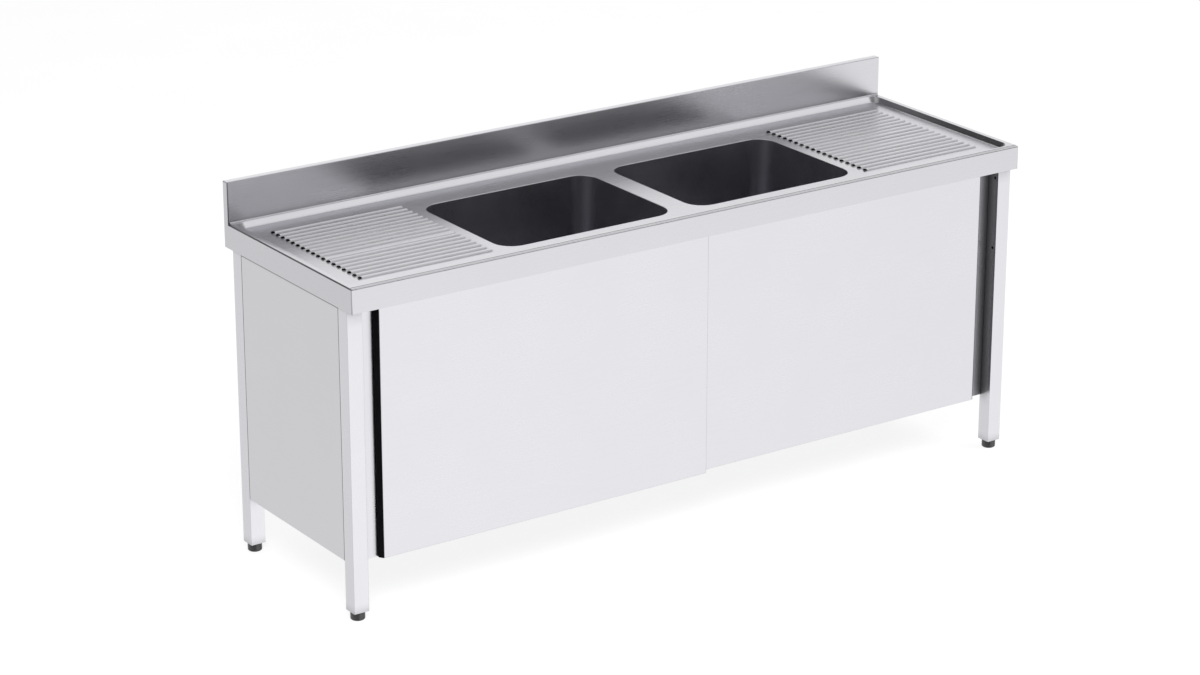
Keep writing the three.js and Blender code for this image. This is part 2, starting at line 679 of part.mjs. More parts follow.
// The shelf is a sheet with its edges folded down, notched round the four legs.
function baseShelf() {
  const wideX = LEG_OUTER_X - PANEL_SHEET - SEAT_GAP;
  const back = BACK_LEG_BACK_Y - PANEL_SHEET - SEAT_GAP;
  const wideFront = FRONT_LEG_BACK_Y + PANEL_SHEET + 2 * SEAT_GAP;
  const wideBack = BACK_LEG_Y - PANEL_SHEET - 2 * SEAT_GAP;
  const rightHalf = (inset) => [
    [BETWEEN_LEGS_X - inset, SHELF_FRONT_Y + inset],
    [BETWEEN_LEGS_X - inset, wideFront + inset],
    [wideX - inset, wideFront + inset],
    [wideX - inset, wideBack - inset],
    [BETWEEN_LEGS_X - inset, wideBack - inset],
    [BETWEEN_LEGS_X - inset, back - inset],
  ];
  const plan = (inset) => {
    const right = rightHalf(inset);
    const left = right.map(([x, y]) => [-x, y]).reverse();
    return [...right, ...left];
  };
  const under = extrudeUp(plan(PANEL_SHEET), [CABINET_BOTTOM - OVERCUT, SHELF_Z - PANEL_SHEET]);
  return extrudeUp(plan(0), [CABINET_BOTTOM, SHELF_Z]).subtract(under);
}

// A folded angle that closes the finger gap behind a door. The left one stands behind the front door and
// folds back to the shelf's edge; the right one stands behind the rear door and folds back over the shelf.
function doorJamb(side) {
  const isLeft = side < 0;
  const faceY = (isLeft ? FRONT_DOOR_Y : REAR_DOOR_Y) + DOOR_THICKNESS + JAMB_GAP;
  const foldEnd = isLeft ? SHELF_FRONT_Y - SEAT_GAP : faceY + JAMB_RETURN;
  const foldBottom = isLeft ? CABINET_BOTTOM : SHELF_Z + SEAT_GAP;
  const faceX = mirrored([-DOOR_OUTER_X - SEAT_GAP, BETWEEN_LEGS_X], side);
  const foldX = mirrored([BETWEEN_LEGS_X - PANEL_SHEET, BETWEEN_LEGS_X], side);
  const face = box(faceX, [faceY, faceY + PANEL_SHEET], [CABINET_BOTTOM, DOOR_TOP]);
  return face.add(box(foldX, [faceY, foldEnd], [foldBottom, DOOR_TOP]));
}

// ---------------------------------------------------------------- track
// One folded section with a channel for each door. The rollers run on the ledges at its front walls.
function topTrack() {
  const length = spanAround(0, BETWEEN_LEGS_X);
  const back = REAR_DOOR_BACK_Y;
  const web = box(length, [FRONT_DOOR_Y - TRACK_WALL_AHEAD, back], [TRACK_WEB_Z, TRACK_TOP]);
  const backWall = box(length, [back - TRACK_SHEET, back], [LEDGE_TOP, TRACK_TOP]);
  const channels = [FRONT_DOOR_Y, REAR_DOOR_Y].flatMap((doorY) => [
    box(length, [doorY - TRACK_WALL_AHEAD, doorY + LEDGE_START], [LEDGE_BOTTOM, TRACK_TOP]),
    box(length, [doorY - TRACK_WALL_AHEAD, doorY + LEDGE_END], [LEDGE_BOTTOM, LEDGE_TOP]),
  ]);
  return union([web, backWall, ...channels]);
}

// ---------------------------------------------------------------- doors
// A door's pieces are drawn for the left door, whose outer edge is on the left, with its face at y = 0.
function doorOuterSkin() {
  const x = [DOOR_OUTER_X, DOOR_INNER_X];
  const insideX = [x[0] + DOOR_SHEET, x[1] - DOOR_SHEET];
  const pastBack = DOOR_THICKNESS + OVERCUT;
  const block = box(x, [0, DOOR_THICKNESS], [CABINET_BOTTOM, DOOR_TOP]);
  const insideZ = [CABINET_BOTTOM + DOOR_SHEET, DOOR_TOP - DOOR_SHEET];
  const inside = box(insideX, [DOOR_SHEET, pastBack], insideZ);
  const slotZ = [CABINET_BOTTOM - OVERCUT, CABINET_BOTTOM + DOOR_SHEET + OVERCUT];
  const slot = box(insideX, [DOOR_SLOT_LIP, pastBack], slotZ);
  return block.subtract(inside).subtract(slot);
}

function doorInnerSkin() {
  const margin = DOOR_SHEET + SEAT_GAP;
  const x = [DOOR_OUTER_X + margin, DOOR_INNER_X - margin];
  const sheet = box(x, [DOOR_THICKNESS - DOOR_SHEET, DOOR_THICKNESS], [CABINET_BOTTOM, DOOR_TOP - margin]);
  const lipZ = [CABINET_BOTTOM, CABINET_BOTTOM + DOOR_SHEET];
  return sheet.add(box(x, [DOOR_THICKNESS - DOOR_SLOT_LIP, DOOR_THICKNESS], lipZ));
}

function doorEdgeProfile() {
  const inner = DOOR_OUTER_X - SEAT_GAP;
  const outer = inner - EDGE_WIDTH;
  const plan = [
    [inner, 0],
    [inner, DOOR_THICKNESS],
    [outer, DOOR_THICKNESS],
    [outer, EDGE_CHAMFER_DEPTH],
  ];
  return extrudeUp(plan, [CABINET_BOTTOM, DOOR_TOP]);
}

// A bent plate on the door's top edge with the roller's axle riveted through it, about the axle.
function hanger() {
  const width = spanAround(0, HANGER_HALF_WIDTH);
  const bottom = DOOR_TOP + SEAT_GAP - AXLE_Z;
  const back = HANGER_FRONT + HANGER_PLATE;
  const headBack = ROLLER_FRONT - SEAT_GAP;
  const headFront = headBack - AXLE_HEAD_THICKNESS;
  return union([
    box(width, [HANGER_FRONT, back], [bottom, HANGER_ABOVE_AXLE]),
    box(width, [HANGER_FRONT, back + HANGER_TAB], [bottom, bottom + HANGER_TAB_THICKNESS]),
    rodBack(AXLE_RADIUS, [headFront, back]),
    rodBack(AXLE_HEAD_RADIUS, [headFront, headBack]),
    rodBack(AXLE_HEAD_RADIUS, [ROLLER_BACK + SEAT_GAP, back]),
  ]);
}

function roller() {
  const bore = rodBack(AXLE_RADIUS + AXLE_CLEARANCE, [ROLLER_FRONT - OVERCUT, ROLLER_BACK + OVERCUT]);
  return rodBack(ROLLER_RADIUS, [ROLLER_FRONT, ROLLER_BACK]).subtract(bore);
}

// A rubber block on the channel's ledge.
function trackStop(start) {
  const across = [LEDGE_START + SEAT_GAP, DOOR_THICKNESS - TRACK_SHEET - STOP_TO_WALL];
  const bottom = LEDGE_TOP + SEAT_GAP;
  return box([start, start + STOP_LENGTH], across, [bottom, bottom + STOP_HEIGHT]);
}

// The guide's fins stand in the slots under both doors, where the doors always overlap the middle.
function doorGuide() {
  const x = spanAround(0, GUIDE_HALF_WIDTH);
  const plateTop = CABINET_BOTTOM - GUIDE_DOOR_GAP;
  const plateBottom = plateTop - GUIDE_SHEET;
  const back = SHELF_FRONT_Y - SEAT_GAP;
  const slots = [FRONT_DOOR_Y, REAR_DOOR_Y].map((doorY) => doorY + DOOR_THICKNESS / 2);
  const fins = slots.map((y) =>
    box(x, spanAround(y, FIN_THICKNESS / 2), [plateBottom, CABINET_BOTTOM + FIN_HEIGHT]),
  );
  const plate = box(x, [slots[0], back], [plateBottom, plateTop]);
  const tab = box(x, [back - GUIDE_SHEET, back], [plateBottom, plateBottom + GUIDE_TAB_HEIGHT]);
  return union([plate, tab, ...fins]);
}

// ---------------------------------------------------------------- materials
function finish(color, metalness, roughness) {
  return new THREE.MeshStandardMaterial({ color, metalness, roughness });
}

const BRUSHED_STEEL = finish(0xc9cacd, 1, 0.32);
const BOWL_STEEL = finish(0x8d8e92, 1, 0.38);
const PANEL_STEEL = finish(0xd6d7da, 1, 0.4);
const GALVANISED = finish(0xa9acb0, 0.9, 0.55);
const CHROME = finish(0xdedfe2, 1, 0.12);
const BLACK_PLASTIC = finish(0x101012, 0, 0.45);
const RUBBER = finish(0x1b1b1c, 0, 0.9);
const NYLON = finish(0xe3e1da, 0, 0.5);

// ---------------------------------------------------------------- scene
// A group at a place, filled with one named mesh for each solid.
function assembly(position, pieces) {
  const group = new THREE.Group();
  group.position.set(...position);
  for (const [name, solid, material] of pieces) {
    const mesh = new THREE.Mesh(toGeometry(solid), material);
    mesh.name = name;
    group.add(mesh);
  }
  return group;
}

function drainFitting(word, side) {
  return assembly([side * BOWL_CENTRE_X, BOWL_CENTRE_Y, 0], [
    [`${word}_drain_body`, drainBody(), CHROME],
    [`${word}_drain_gasket`, drainGasket(), RUBBER],
    [`${word}_drain_locknut`, drainLocknut(), NYLON],
    [`${word}_drain_plug`, drainPlug(), CHROME],
  ]);
}

function cabinetSide(word, side) {
  return assembly([0, 0, 0], [
    [`${word}_drainer_stiffener`, drainerStiffener(side), GALVANISED],
    [`${word}_side_panel`, sidePanel(side), PANEL_STEEL],
    [`${word}_door_jamb`, doorJamb(side), PANEL_STEEL],
  ]);
}

function standingLeg(name, side, y, drilled) {
  return assembly([side * LEG_CENTRE_X, y + LEG_SIZE / 2, 0], [
    [`${name}_leg`, leg(side, drilled), PANEL_STEEL],
    [`${name}_leg_insert`, legInsert(), NYLON],
    [`${name}_foot`, foot(), BLACK_PLASTIC],
  ]);
}

// The right door's solids are the left door's, mirrored in the middle plane.
function hungDoor(word, side, doorY) {
  const placed = (solid) => (side < 0 ? solid : solid.mirror([1, 0, 0]));
  const shutStop = DOOR_OUTER_X + HANGER_FROM_EDGE - HANGER_HALF_WIDTH - SEAT_GAP - STOP_LENGTH;
  const openStop = DOOR_INNER_X - HANGER_FROM_EDGE + HANGER_HALF_WIDTH + DOOR_TRAVEL + SEAT_GAP;
  const door = assembly([0, doorY, 0], [
    [`${word}_door_outer_skin`, placed(doorOuterSkin()), PANEL_STEEL],
    [`${word}_door_inner_skin`, placed(doorInnerSkin()), PANEL_STEEL],
    [`${word}_door_edge_profile`, placed(doorEdgeProfile()), BLACK_PLASTIC],
    [`${word}_door_shut_stop`, placed(trackStop(shutStop)), RUBBER],
    [`${word}_door_open_stop`, placed(trackStop(openStop)), RUBBER],
  ]);
  const hangerPlaces = { outer: DOOR_OUTER_X + HANGER_FROM_EDGE, inner: DOOR_INNER_X - HANGER_FROM_EDGE };
  for (const [end, x] of Object.entries(hangerPlaces)) {
    const pieces = [
      [`${word}_door_${end}_hanger`, hanger(), GALVANISED],
      [`${word}_door_${end}_roller`, roller(), NYLON],
    ];
    door.add(assembly([-side * x, 0, AXLE_Z], pieces));
  }
  return door;
}

const unit = assembly([0, 0, 0], [
  ["worktop", worktop(), BRUSHED_STEEL],
  ["front_rail", rail(FRONT_RAIL_Y, FRONT_RAIL_HEIGHT), GALVANISED],
  ["back_rail", rail(BACK_RAIL_Y, BACK_RAIL_HEIGHT), GALVANISED],
  ["back_panel", backPanel(), PANEL_STEEL],
  ["base_shelf", baseShelf(), PANEL_STEEL],
  ["shelf_stiffener", shelfStiffener(), GALVANISED],
  ["top_track", topTrack(), GALVANISED],
  ["door_guide", doorGuide(), NYLON],
]);
for (const [word, side] of [["left", -1], ["right", 1]]) {
  unit.add(assembly([side * BOWL_CENTRE_X, 0, 0], [[`${word}_bowl`, bowl(), BOWL_STEEL]]));
  unit.add(drainFitting(word, side));
  unit.add(cabinetSide(word, side));
  unit.add(standingLeg(`front_${word}`, side, FRONT_LEG_Y, true));
  unit.add(standingLeg(`back_${word}`, side, BACK_LEG_Y, false));
}
unit.add(hungDoor("left", -1, FRONT_DOOR_Y));
unit.add(hungDoor("right", 1, REAR_DOOR_Y));

export default unit;
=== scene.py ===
"""Looks for the kitchen sink unit: rounded sheet metal, drawn bowls, steel finishes, studio and camera.

Lengths are in metres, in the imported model's frame: +X to the right, +Y to the wall, +Z up, floor at 0.
"""

import json
import math

import bmesh
import bpy
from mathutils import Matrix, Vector

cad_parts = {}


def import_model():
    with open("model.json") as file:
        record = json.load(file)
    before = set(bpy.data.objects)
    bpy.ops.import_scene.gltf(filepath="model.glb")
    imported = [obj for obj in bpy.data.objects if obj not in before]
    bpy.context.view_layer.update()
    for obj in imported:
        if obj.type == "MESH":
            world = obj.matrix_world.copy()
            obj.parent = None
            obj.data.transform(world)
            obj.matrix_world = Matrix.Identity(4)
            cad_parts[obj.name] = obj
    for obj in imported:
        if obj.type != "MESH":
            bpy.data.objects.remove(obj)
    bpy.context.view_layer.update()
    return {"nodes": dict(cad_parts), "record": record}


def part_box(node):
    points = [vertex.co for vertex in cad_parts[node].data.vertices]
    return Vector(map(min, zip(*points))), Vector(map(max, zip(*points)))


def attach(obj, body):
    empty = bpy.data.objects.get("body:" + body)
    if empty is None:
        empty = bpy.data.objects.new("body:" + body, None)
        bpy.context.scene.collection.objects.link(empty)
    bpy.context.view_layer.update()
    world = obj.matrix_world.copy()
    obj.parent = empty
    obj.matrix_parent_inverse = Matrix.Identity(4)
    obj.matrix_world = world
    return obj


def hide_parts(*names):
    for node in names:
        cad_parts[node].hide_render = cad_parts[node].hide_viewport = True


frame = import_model()
NODES = frame["nodes"]
MM = 0.001
X_AXIS, Y_AXIS, Z_AXIS = 0, 1, 2

# ---------------------------------------------------------------- sizes shared with the CAD
PAN_Z = 831 * MM
RIM_Z = 845 * MM
RIB_TOP_Z = 835 * MM
UPSTAND_TOP_Z = 950 * MM
FASCIA_BOTTOM_Z = 782.5 * MM
END_X = 1000 * MM
FRONT_Y = -300 * MM
BACK_Y = 300 * MM
UPSTAND_FRONT_Y = 280 * MM
RIB_SPAN_X = (560 * MM, 930 * MM)
RIB_SPAN_Y = (-225 * MM, 210 * MM)

BOWL_LENGTH = 498 * MM
BOWL_WIDTH = 392 * MM
BOWL_CENTRE_X = 280.3 * MM
BOWL_CENTRE_Y = -24 * MM
BOWL_TOP_Z = 829.2 * MM
BOWL_FLOOR_Z = 581 * MM
BOWL_CORNER_RADIUS = 52 * MM
BOWL_FLOOR_RADIUS = 40 * MM
BOWL_FLOOR_CORNER_RADIUS = 12 * MM
BOWL_DRAFT = 10 * MM
BOWL_SHEET = 1.2 * MM
BOWL_FLANGE = 12 * MM
DRAIN_HOLE_RADIUS = 24.5 * MM

# ---------------------------------------------------------------- joining and rounding the CAD's sheets
WELD = 0.01 * MM
TOUCH = 0.06 * MM
FLAT_ANGLE = math.radians(0.6)
SHARP_ANGLE = math.radians(38)
PLAIN_ROUNDING = 3  # segments across a rounded edge
FINE_ROUNDING = 4


def whole(node):
    """The CAD node as one joined mesh, with each flat face in one piece."""
    bm = bmesh.new()
    bm.from_mesh(NODES[node].data)
    bmesh.ops.remove_doubles(bm, verts=bm.verts, dist=WELD)
    bmesh.ops.dissolve_limit(bm, angle_limit=FLAT_ANGLE, verts=bm.verts, edges=bm.edges)
    return bm


def lies_at(edge, axis, *places):
    return all(any(abs(v.co[axis] - place) < TOUCH for place in places) for v in edge.verts)


def runs_along(edge, axis):
    a, b = (v.co for v in edge.verts)
    return all(abs(a[i] - b[i]) < TOUCH for i in range(3) if i != axis)


def middle(edge):
    a, b = (v.co for v in edge.verts)
    return (a + b) / 2


def round_edges(bm, radius, segments, choose):
    """Rounds the folded edges that choose(edge, angle) picks. Edges that stand out have an angle above 0."""
    folded = []
    for edge in bm.edges:
        if len(edge.link_faces) != 2:
            continue
        angle = edge.calc_face_angle_signed()
        if abs(angle) > SHARP_ANGLE and choose(edge, angle):
            folded.append(edge)
    bmesh.ops.bevel(
        bm,
        geom=folded,
        offset=radius,
        offset_type="OFFSET",
        segments=segments,
        profile=0.5,
        affect="EDGES",
        clamp_overlap=True,
    )


def piece(name, bm, material, node, body="root"):
    """Makes the mesh an object that rides on a body and stands for a CAD node."""
    bmesh.ops.recalc_face_normals(bm, faces=bm.faces)
    mesh = bpy.data.meshes.new(name)
    bm.to_mesh(mesh)
    bm.free()
    mesh.shade_smooth()
    mesh.set_sharp_from_angle(angle=SHARP_ANGLE)
    mesh.materials.append(material)
    obj = bpy.data.objects.new(name, mesh)
    bpy.context.scene.collection.objects.link(obj)
    normals = obj.modifiers.new("normals", "WEIGHTED_NORMAL")
    normals.keep_sharp = True
    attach(obj, body)
    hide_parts(node)


# ---------------------------------------------------------------- materials
NOISE_RANGE = (0.3, 0.7)  # where most of a noise texture's values lie
CREASE_OPENNESS = (0.45, 0.95)  # from the bottom of a crease to the open sheet
CREASE_SAMPLES = 6


def put(tree, kind, inputs=None, **settings):
    """Adds a node. An input is given a value, or another node's output to follow."""
    node = tree.nodes.new(kind)
    for name, value in settings.items():
        setattr(node, name, value)
    for name, value in (inputs or {}).items():
        if isinstance(value, bpy.types.NodeSocket):
            tree.links.new(value, node.inputs[name])
        else:
            node.inputs[name].default_value = value
    return node


def new_material(name):
    material = bpy.data.materials.new(name)
    material.use_nodes = True
    material.node_tree.nodes.clear()
    return material, material.node_tree


def finish_with(tree, shader):
    put(tree, "ShaderNodeOutputMaterial", {"Surface": shader.outputs[0]})


def noise(tree, scale, vector, detail=3.0, roughness=0.5):
    inputs = {"Vector": vector, "Scale": scale, "Detail": detail, "Roughness": roughness}
    return put(tree, "ShaderNodeTexNoise", inputs).outputs["Fac"]


def stretched(tree, scales):
    place = put(tree, "ShaderNodeTexCoord").outputs["Object"]
    return put(tree, "ShaderNodeMapping", {"Vector": place, "Scale": scales}).outputs["Vector"]


def spread(tree, value, low, high, from_low=NOISE_RANGE[0], from_high=NOISE_RANGE[1]):
    inputs = {"Value": value, "From Min": from_low, "From Max": from_high, "To Min": low, "To Max": high}
    return put(tree, "ShaderNodeMapRange", inputs).outputs["Result"]


def added(tree, a, b):
    return put(tree, "ShaderNodeMath", {0: a, 1: b}, operation="ADD").outputs[0]


def shade_between(tree, value, dark, light):
    ramp = put(tree, "ShaderNodeValToRGB", {"Fac": value})
    for stop, position, tone in zip(ramp.color_ramp.elements, NOISE_RANGE, (dark, light)):
        stop.position = position
        stop.color = (*tone, 1)
    return ramp.outputs["Color"]


def shaded(tree, color, shade):
    return put(tree, "ShaderNodeVectorMath", {0: color, "Scale": shade}, operation="SCALE").outputs["Vector"]


def crease_shade(tree, reach, darkest):
    """1 in the open, down to darkest where the surface lies in a crease or slot narrower than the reach."""
    feeler = put(tree, "ShaderNodeAmbientOcclusion", {"Distance": reach}, samples=CREASE_SAMPLES)
    return spread(tree, feeler.outputs["AO"], darkest, 1.0, *CREASE_OPENNESS)


def line_shade(tree, place, depth, *spans):
    """1, or less by depth where each of the given coordinates lies in its span (axis, low, high)."""
    coordinates = put(tree, "ShaderNodeSeparateXYZ", {0: place}).outputs
    inside = 1.0
    for axis, low, high in spans:
        inputs = {0: coordinates[axis], 1: (low + high) / 2, 2: (high - low) / 2}
        within = put(tree, "ShaderNodeMath", inputs, operation="COMPARE").outputs[0]
        inside = put(tree, "ShaderNodeMath", {0: inside, 1: within}, operation="MULTIPLY").outputs[0]
    return spread(tree, inside, 1.0, 1.0 - depth, 0.0, 1.0)


GRAIN_ALONG = 9.0  # noise cells per metre along the brushing
GRAIN_ACROSS = 1100.0  # and across it
GRAIN_TONES = (0.98, 1.015)  # times the steel's tone, in the scratches' dark and light parts
CLOUD_TONES = (0.93, 1.04)  # the same for the bowls' cloudy patches
SCRATCH_DEPTH = 0.05 * MM
MOULD_GRIT_DEPTH = 0.1 * MM
STROKE_SCALES = (260.0, 260.0, 900.0)  # the bowls' satin strokes
HAIRLINE_SCALES = (2200.0, 160.0, 700.0)  # scratches in the chrome
SPANGLE_SCALE = 110.0  # zinc crystals per metre


def brushed_steel(name, tone, roughness, grain_axis, grain, bump, crease, smudge=0.03, marks=()):
    """Stainless sheet with fine scratches along one axis, soft smudges, painted shade in creases and painted
    shade lines and dots at fixed places.
    """
    material, tree = new_material(name)
    scales = [GRAIN_ACROSS] * 3
    scales[grain_axis] = GRAIN_ALONG
    scratches = noise(tree, 1.0, detail=4.0, vector=stretched(tree, scales), roughness=0.65)
    place = put(tree, "ShaderNodeTexCoord").outputs["Object"]
    smudges = noise(tree, 5.0, detail=5.0, vector=place, roughness=0.62)
    rough = added(
        tree,
        spread(tree, scratches, roughness - grain, roughness + grain),
        spread(tree, smudges, -smudge / 2, smudge / 2),
    )
    dark, light = ([level * share for level in tone] for share in GRAIN_TONES)
    color = shade_between(tree, scratches, dark, light)
    # painted shade: darker in creases and slots
    color = shaded(tree, color, crease_shade(tree, *crease))
    # painted shade lines and dots at fixed places
    for painted_line in marks:
        color = shaded(tree, color, line_shade(tree, place, *painted_line))
    relief = put(tree, "ShaderNodeBump", {"Height": scratches, "Strength": bump, "Distance": SCRATCH_DEPTH})
    shader = put(
        tree,
        "ShaderNodeBsdfPrincipled",
        {"Base Color": color, "Metallic": 1.0, "Roughness": rough, "Normal": relief.outputs["Normal"]},
    )
    finish_with(tree, shader)
    return material


def drawn_steel(name, tone, roughness):
    """The bowls' satin: short strokes along the walls, broken up by soft cloudy patches."""
    material, tree = new_material(name)
    strokes = noise(tree, 1.0, detail=5.0, vector=stretched(tree, STROKE_SCALES), roughness=0.6)
    place = put(tree, "ShaderNodeTexCoord").outputs["Object"]
    clouds = noise(tree, 9.0, detail=6.0, vector=place, roughness=0.6)
    rough = added(
        tree,
        spread(tree, strokes, roughness - 0.05, roughness + 0.05),
        spread(tree, clouds, -0.04, 0.04),
    )
    dark, light = ([level * share for level in tone] for share in CLOUD_TONES)
    color = shade_between(tree, clouds, dark, light)
    relief = put(tree, "ShaderNodeBump", {"Height": strokes, "Strength": 0.1, "Distance": SCRATCH_DEPTH})
    shader = put(
        tree,
        "ShaderNodeBsdfPrincipled",
        {"Base Color": color, "Metallic": 1.0, "Roughness": rough, "Normal": relief.outputs["Normal"]},
    )
    finish_with(tree, shader)
    return material


def galvanised_steel(name):
    """Dull zinc with its spangle of crystals."""
    material, tree = new_material(name)
    place = put(tree, "ShaderNodeTexCoord").outputs["Object"]
    crystals = put(tree, "ShaderNodeTexVoronoi", {"Vector": place, "Scale": SPANGLE_SCALE}, feature="F1")
    shine = put(tree, "ShaderNodeSeparateColor", {"Color": crystals.outputs["Color"]}).outputs["Red"]
    color = shade_between(tree, shine, (0.36, 0.37, 0.39), (0.5, 0.51, 0.53))
    rough = spread(tree, shine, 0.42, 0.6, 0.0, 1.0)
    grit = noise(tree, 900.0, vector=place)
    relief = put(tree, "ShaderNodeBump", {"Height": grit, "Strength": 0.12, "Distance": SCRATCH_DEPTH})
    shader = put(
        tree,
        "ShaderNodeBsdfPrincipled",
        {"Base Color": color, "Metallic": 0.9, "Roughness": rough, "Normal": relief.outputs["Normal"]},
    )
    finish_with(tree, shader)
    return material


def polished_chrome(name):
    """Chrome plate with water marks and hairline scratches."""
    material, tree = new_material(name)
    place = put(tree, "ShaderNodeTexCoord").outputs["Object"]
    marks = noise(tree, 120.0, detail=4.0, vector=place)
    hairlines = noise(tree, 1.0, detail=2.0, vector=stretched(tree, HAIRLINE_SCALES))
    rough = added(tree, spread(tree, marks, 0.07, 0.15), spread(tree, hairlines, 0.0, 0.05))
    color = shade_between(tree, marks, (0.72, 0.73, 0.75), (0.8, 0.8, 0.82))
    shader = put(
        tree,
        "ShaderNodeBsdfPrincipled",
        {"Base Color": color, "Metallic": 1.0, "Roughness": rough},
    )
    finish_with(tree, shader)
    return material


def moulded(name, tones, rough_span, grit_scale, grit_strength, gloss=0.5):
    """Moulded or extruded plastic or rubber: a fine skin texture with slightly uneven gloss."""
    material, tree = new_material(name)
    place = put(tree, "ShaderNodeTexCoord").outputs["Object"]
    patches = noise(tree, 35.0, detail=4.0, vector=place)
    grit = noise(tree, grit_scale, detail=2.0, vector=place)
    color = shade_between(tree, patches, *tones)
    rough = spread(tree, patches, *rough_span)
    texture = {"Height": grit, "Strength": grit_strength, "Distance": MOULD_GRIT_DEPTH}
    relief = put(tree, "ShaderNodeBump", texture)
    shader = put(
        tree,
        "ShaderNodeBsdfPrincipled",
        {
            "Base Color": color,
            "Roughness": rough,
            "Specular IOR Level": gloss,
            "Normal": relief.outputs["Normal"],
        },
    )
    finish_with(tree, shader)
    return material


# Painted shade lines and dots on the sheets: how dark, and the spans of the coordinates that hold them.
# They stand at fixed places for the thin dark lines and dots that the photograph shows.
# painted shade line along the top of the rim's front fold
FRONT_FOLD_SHADE = (0.95, (Y_AXIS, -293.8 * MM, -290.8 * MM), (Z_AXIS, 844.5 * MM, 846 * MM))
# painted shade line down the upstand's left end corner
UPSTAND_END_SHADE = (0.65, (X_AXIS, -999.7 * MM, -996.7 * MM), (Z_AXIS, 846 * MM, 948.5 * MM))
RIB_HEIGHTS = (Z_AXIS, 831.7 * MM, 840 * MM)
# painted shade and reflection, nearly black, at the left end of every rib on both drainers
LEFT_RIB_END_SHADE = (0.995, (X_AXIS, -928 * MM, -921 * MM), (Y_AXIS, *RIB_SPAN_Y), RIB_HEIGHTS)
RIGHT_RIB_END_SHADE = (0.995, (X_AXIS, 561 * MM, 568 * MM), (Y_AXIS, *RIB_SPAN_Y), RIB_HEIGHTS)
FASCIA_SHADOW = (0.75, (Z_AXIS, 779.1 * MM, 781.7 * MM), (Y_AXIS, -240 * MM, 240 * MM))
# painted shade along each side panel's upright folds, in the gap next to the legs
FRONT_PANEL_GAP_SHADE = (0.6, (Y_AXIS, -234.6 * MM, -232.4 * MM), (Z_AXIS, 146 * MM, 781.7 * MM))
BACK_PANEL_GAP_SHADE = (0.6, (Y_AXIS, 222.4 * MM, 224.6 * MM), (Z_AXIS, 146 * MM, 781.7 * MM))
# painted shade line along the left door's edge where the doors meet
DOOR_EDGE_SHADE = (0.5, (X_AXIS, 27.9 * MM, 29.1 * MM), (Y_AXIS, -276 * MM, -274 * MM))
TOP_STEEL = brushed_steel(
    "top_steel",
    (0.8, 0.795, 0.83),
    0.28,
    X_AXIS,
    grain=0.012,
    smudge=0.015,
    bump=0.012,
    marks=[FRONT_FOLD_SHADE, UPSTAND_END_SHADE, LEFT_RIB_END_SHADE, RIGHT_RIB_END_SHADE],
    crease=(10 * MM, 0.3),
)
DOOR_STEEL = brushed_steel(
    "door_steel",
    (0.87, 0.865, 0.905),
    0.28,
    X_AXIS,
    grain=0.01,
    smudge=0.02,
    bump=0.012,
    marks=[DOOR_EDGE_SHADE],
    crease=(15 * MM, 0.6),
)
SIDE_STEEL = brushed_steel(
    "side_steel",
    (0.86, 0.855, 0.88),
    0.3,
    Y_AXIS,
    grain=0.02,
    bump=0.02,
    marks=[FASCIA_SHADOW, FRONT_PANEL_GAP_SHADE, BACK_PANEL_GAP_SHADE],
    crease=(10 * MM, 0.3),
)
POST_STEEL = brushed_steel(
    "post_steel",
    (0.9, 0.895, 0.935),
    0.28,
    Z_AXIS,
    grain=0.015,
    bump=0.02,
    crease=(45 * MM, 0.2),
)
BOWL_STEEL = drawn_steel("drawn_bowl_steel", (0.48, 0.475, 0.515), 0.34)
ZINC = galvanised_steel("zinc")
CHROME = polished_chrome("plug_chrome")
FOOT_TONES = ((0.012, 0.012, 0.013), (0.022, 0.022, 0.024))
EDGE_TONES = ((0.002, 0.002, 0.003), (0.005, 0.005, 0.006))
RUBBER_TONES = ((0.02, 0.02, 0.02), (0.035, 0.035, 0.035))
NYLON_TONES = ((0.7, 0.69, 0.65), (0.78, 0.77, 0.73))
FOOT_BLACK = moulded("foot_black", FOOT_TONES, (0.1, 0.18), grit_scale=700.0, grit_strength=0.05, gloss=1.0)
EDGE_BLACK = moulded("edge_black", EDGE_TONES, (0.5, 0.65), grit_scale=900.0, grit_strength=0.2, gloss=0.12)
RUBBER = moulded("black_rubber", RUBBER_TONES, (0.7, 0.85), grit_scale=500.0, grit_strength=0.35)
NYLON = moulded("white_nylon", NYLON_TONES, (0.4, 0.52), grit_scale=600.0, grit_strength=0.2)


# ---------------------------------------------------------------- worktop
RIB_ROUND = 1.2 * MM
RIB_END_STEEPEN = 1.5 * MM
PAN_FOOT_ROUND = 1.6 * MM
PAN_EDGE_ROUND = 1.4 * MM
OPENING_ROUND = 1.3 * MM
FOLD_ROUND = 1.4 * MM
UPSTAND_ROUND = 2 * MM
RIM_MARGIN = 10 * MM  # edges nearer than this to the outside belong to the rim's outer fold


def over_drainer(edge):
    at = middle(edge)
    return RIB_SPAN_X[0] < abs(at.x) < RIB_SPAN_X[1] and RIB_SPAN_Y[0] < at.y < RIB_SPAN_Y[1]


def is_rib_crest(edge, angle):
    return angle > 0 and over_drainer(edge) and all(v.co.z > PAN_Z - TOUCH for v in edge.verts)


def steepen_rib_ends(bm):
    """Moves the ribs' top corners out, so that their ends stand nearly upright as pressed ribs' do."""
    middle_x = sum(RIB_SPAN_X) / 2
    for vert in bm.verts:
        if abs(vert.co.z - RIB_TOP_Z) < TOUCH and RIB_SPAN_X[0] < abs(vert.co.x) < RIB_SPAN_X[1]:
            outward = 1 if abs(vert.co.x) > middle_x else -1
            vert.co.x += math.copysign(RIB_END_STEEPEN, vert.co.x) * outward


def is_pan_foot(edge, angle):
    return angle < 0 and not over_drainer(edge) and lies_at(edge, Z_AXIS, PAN_Z)


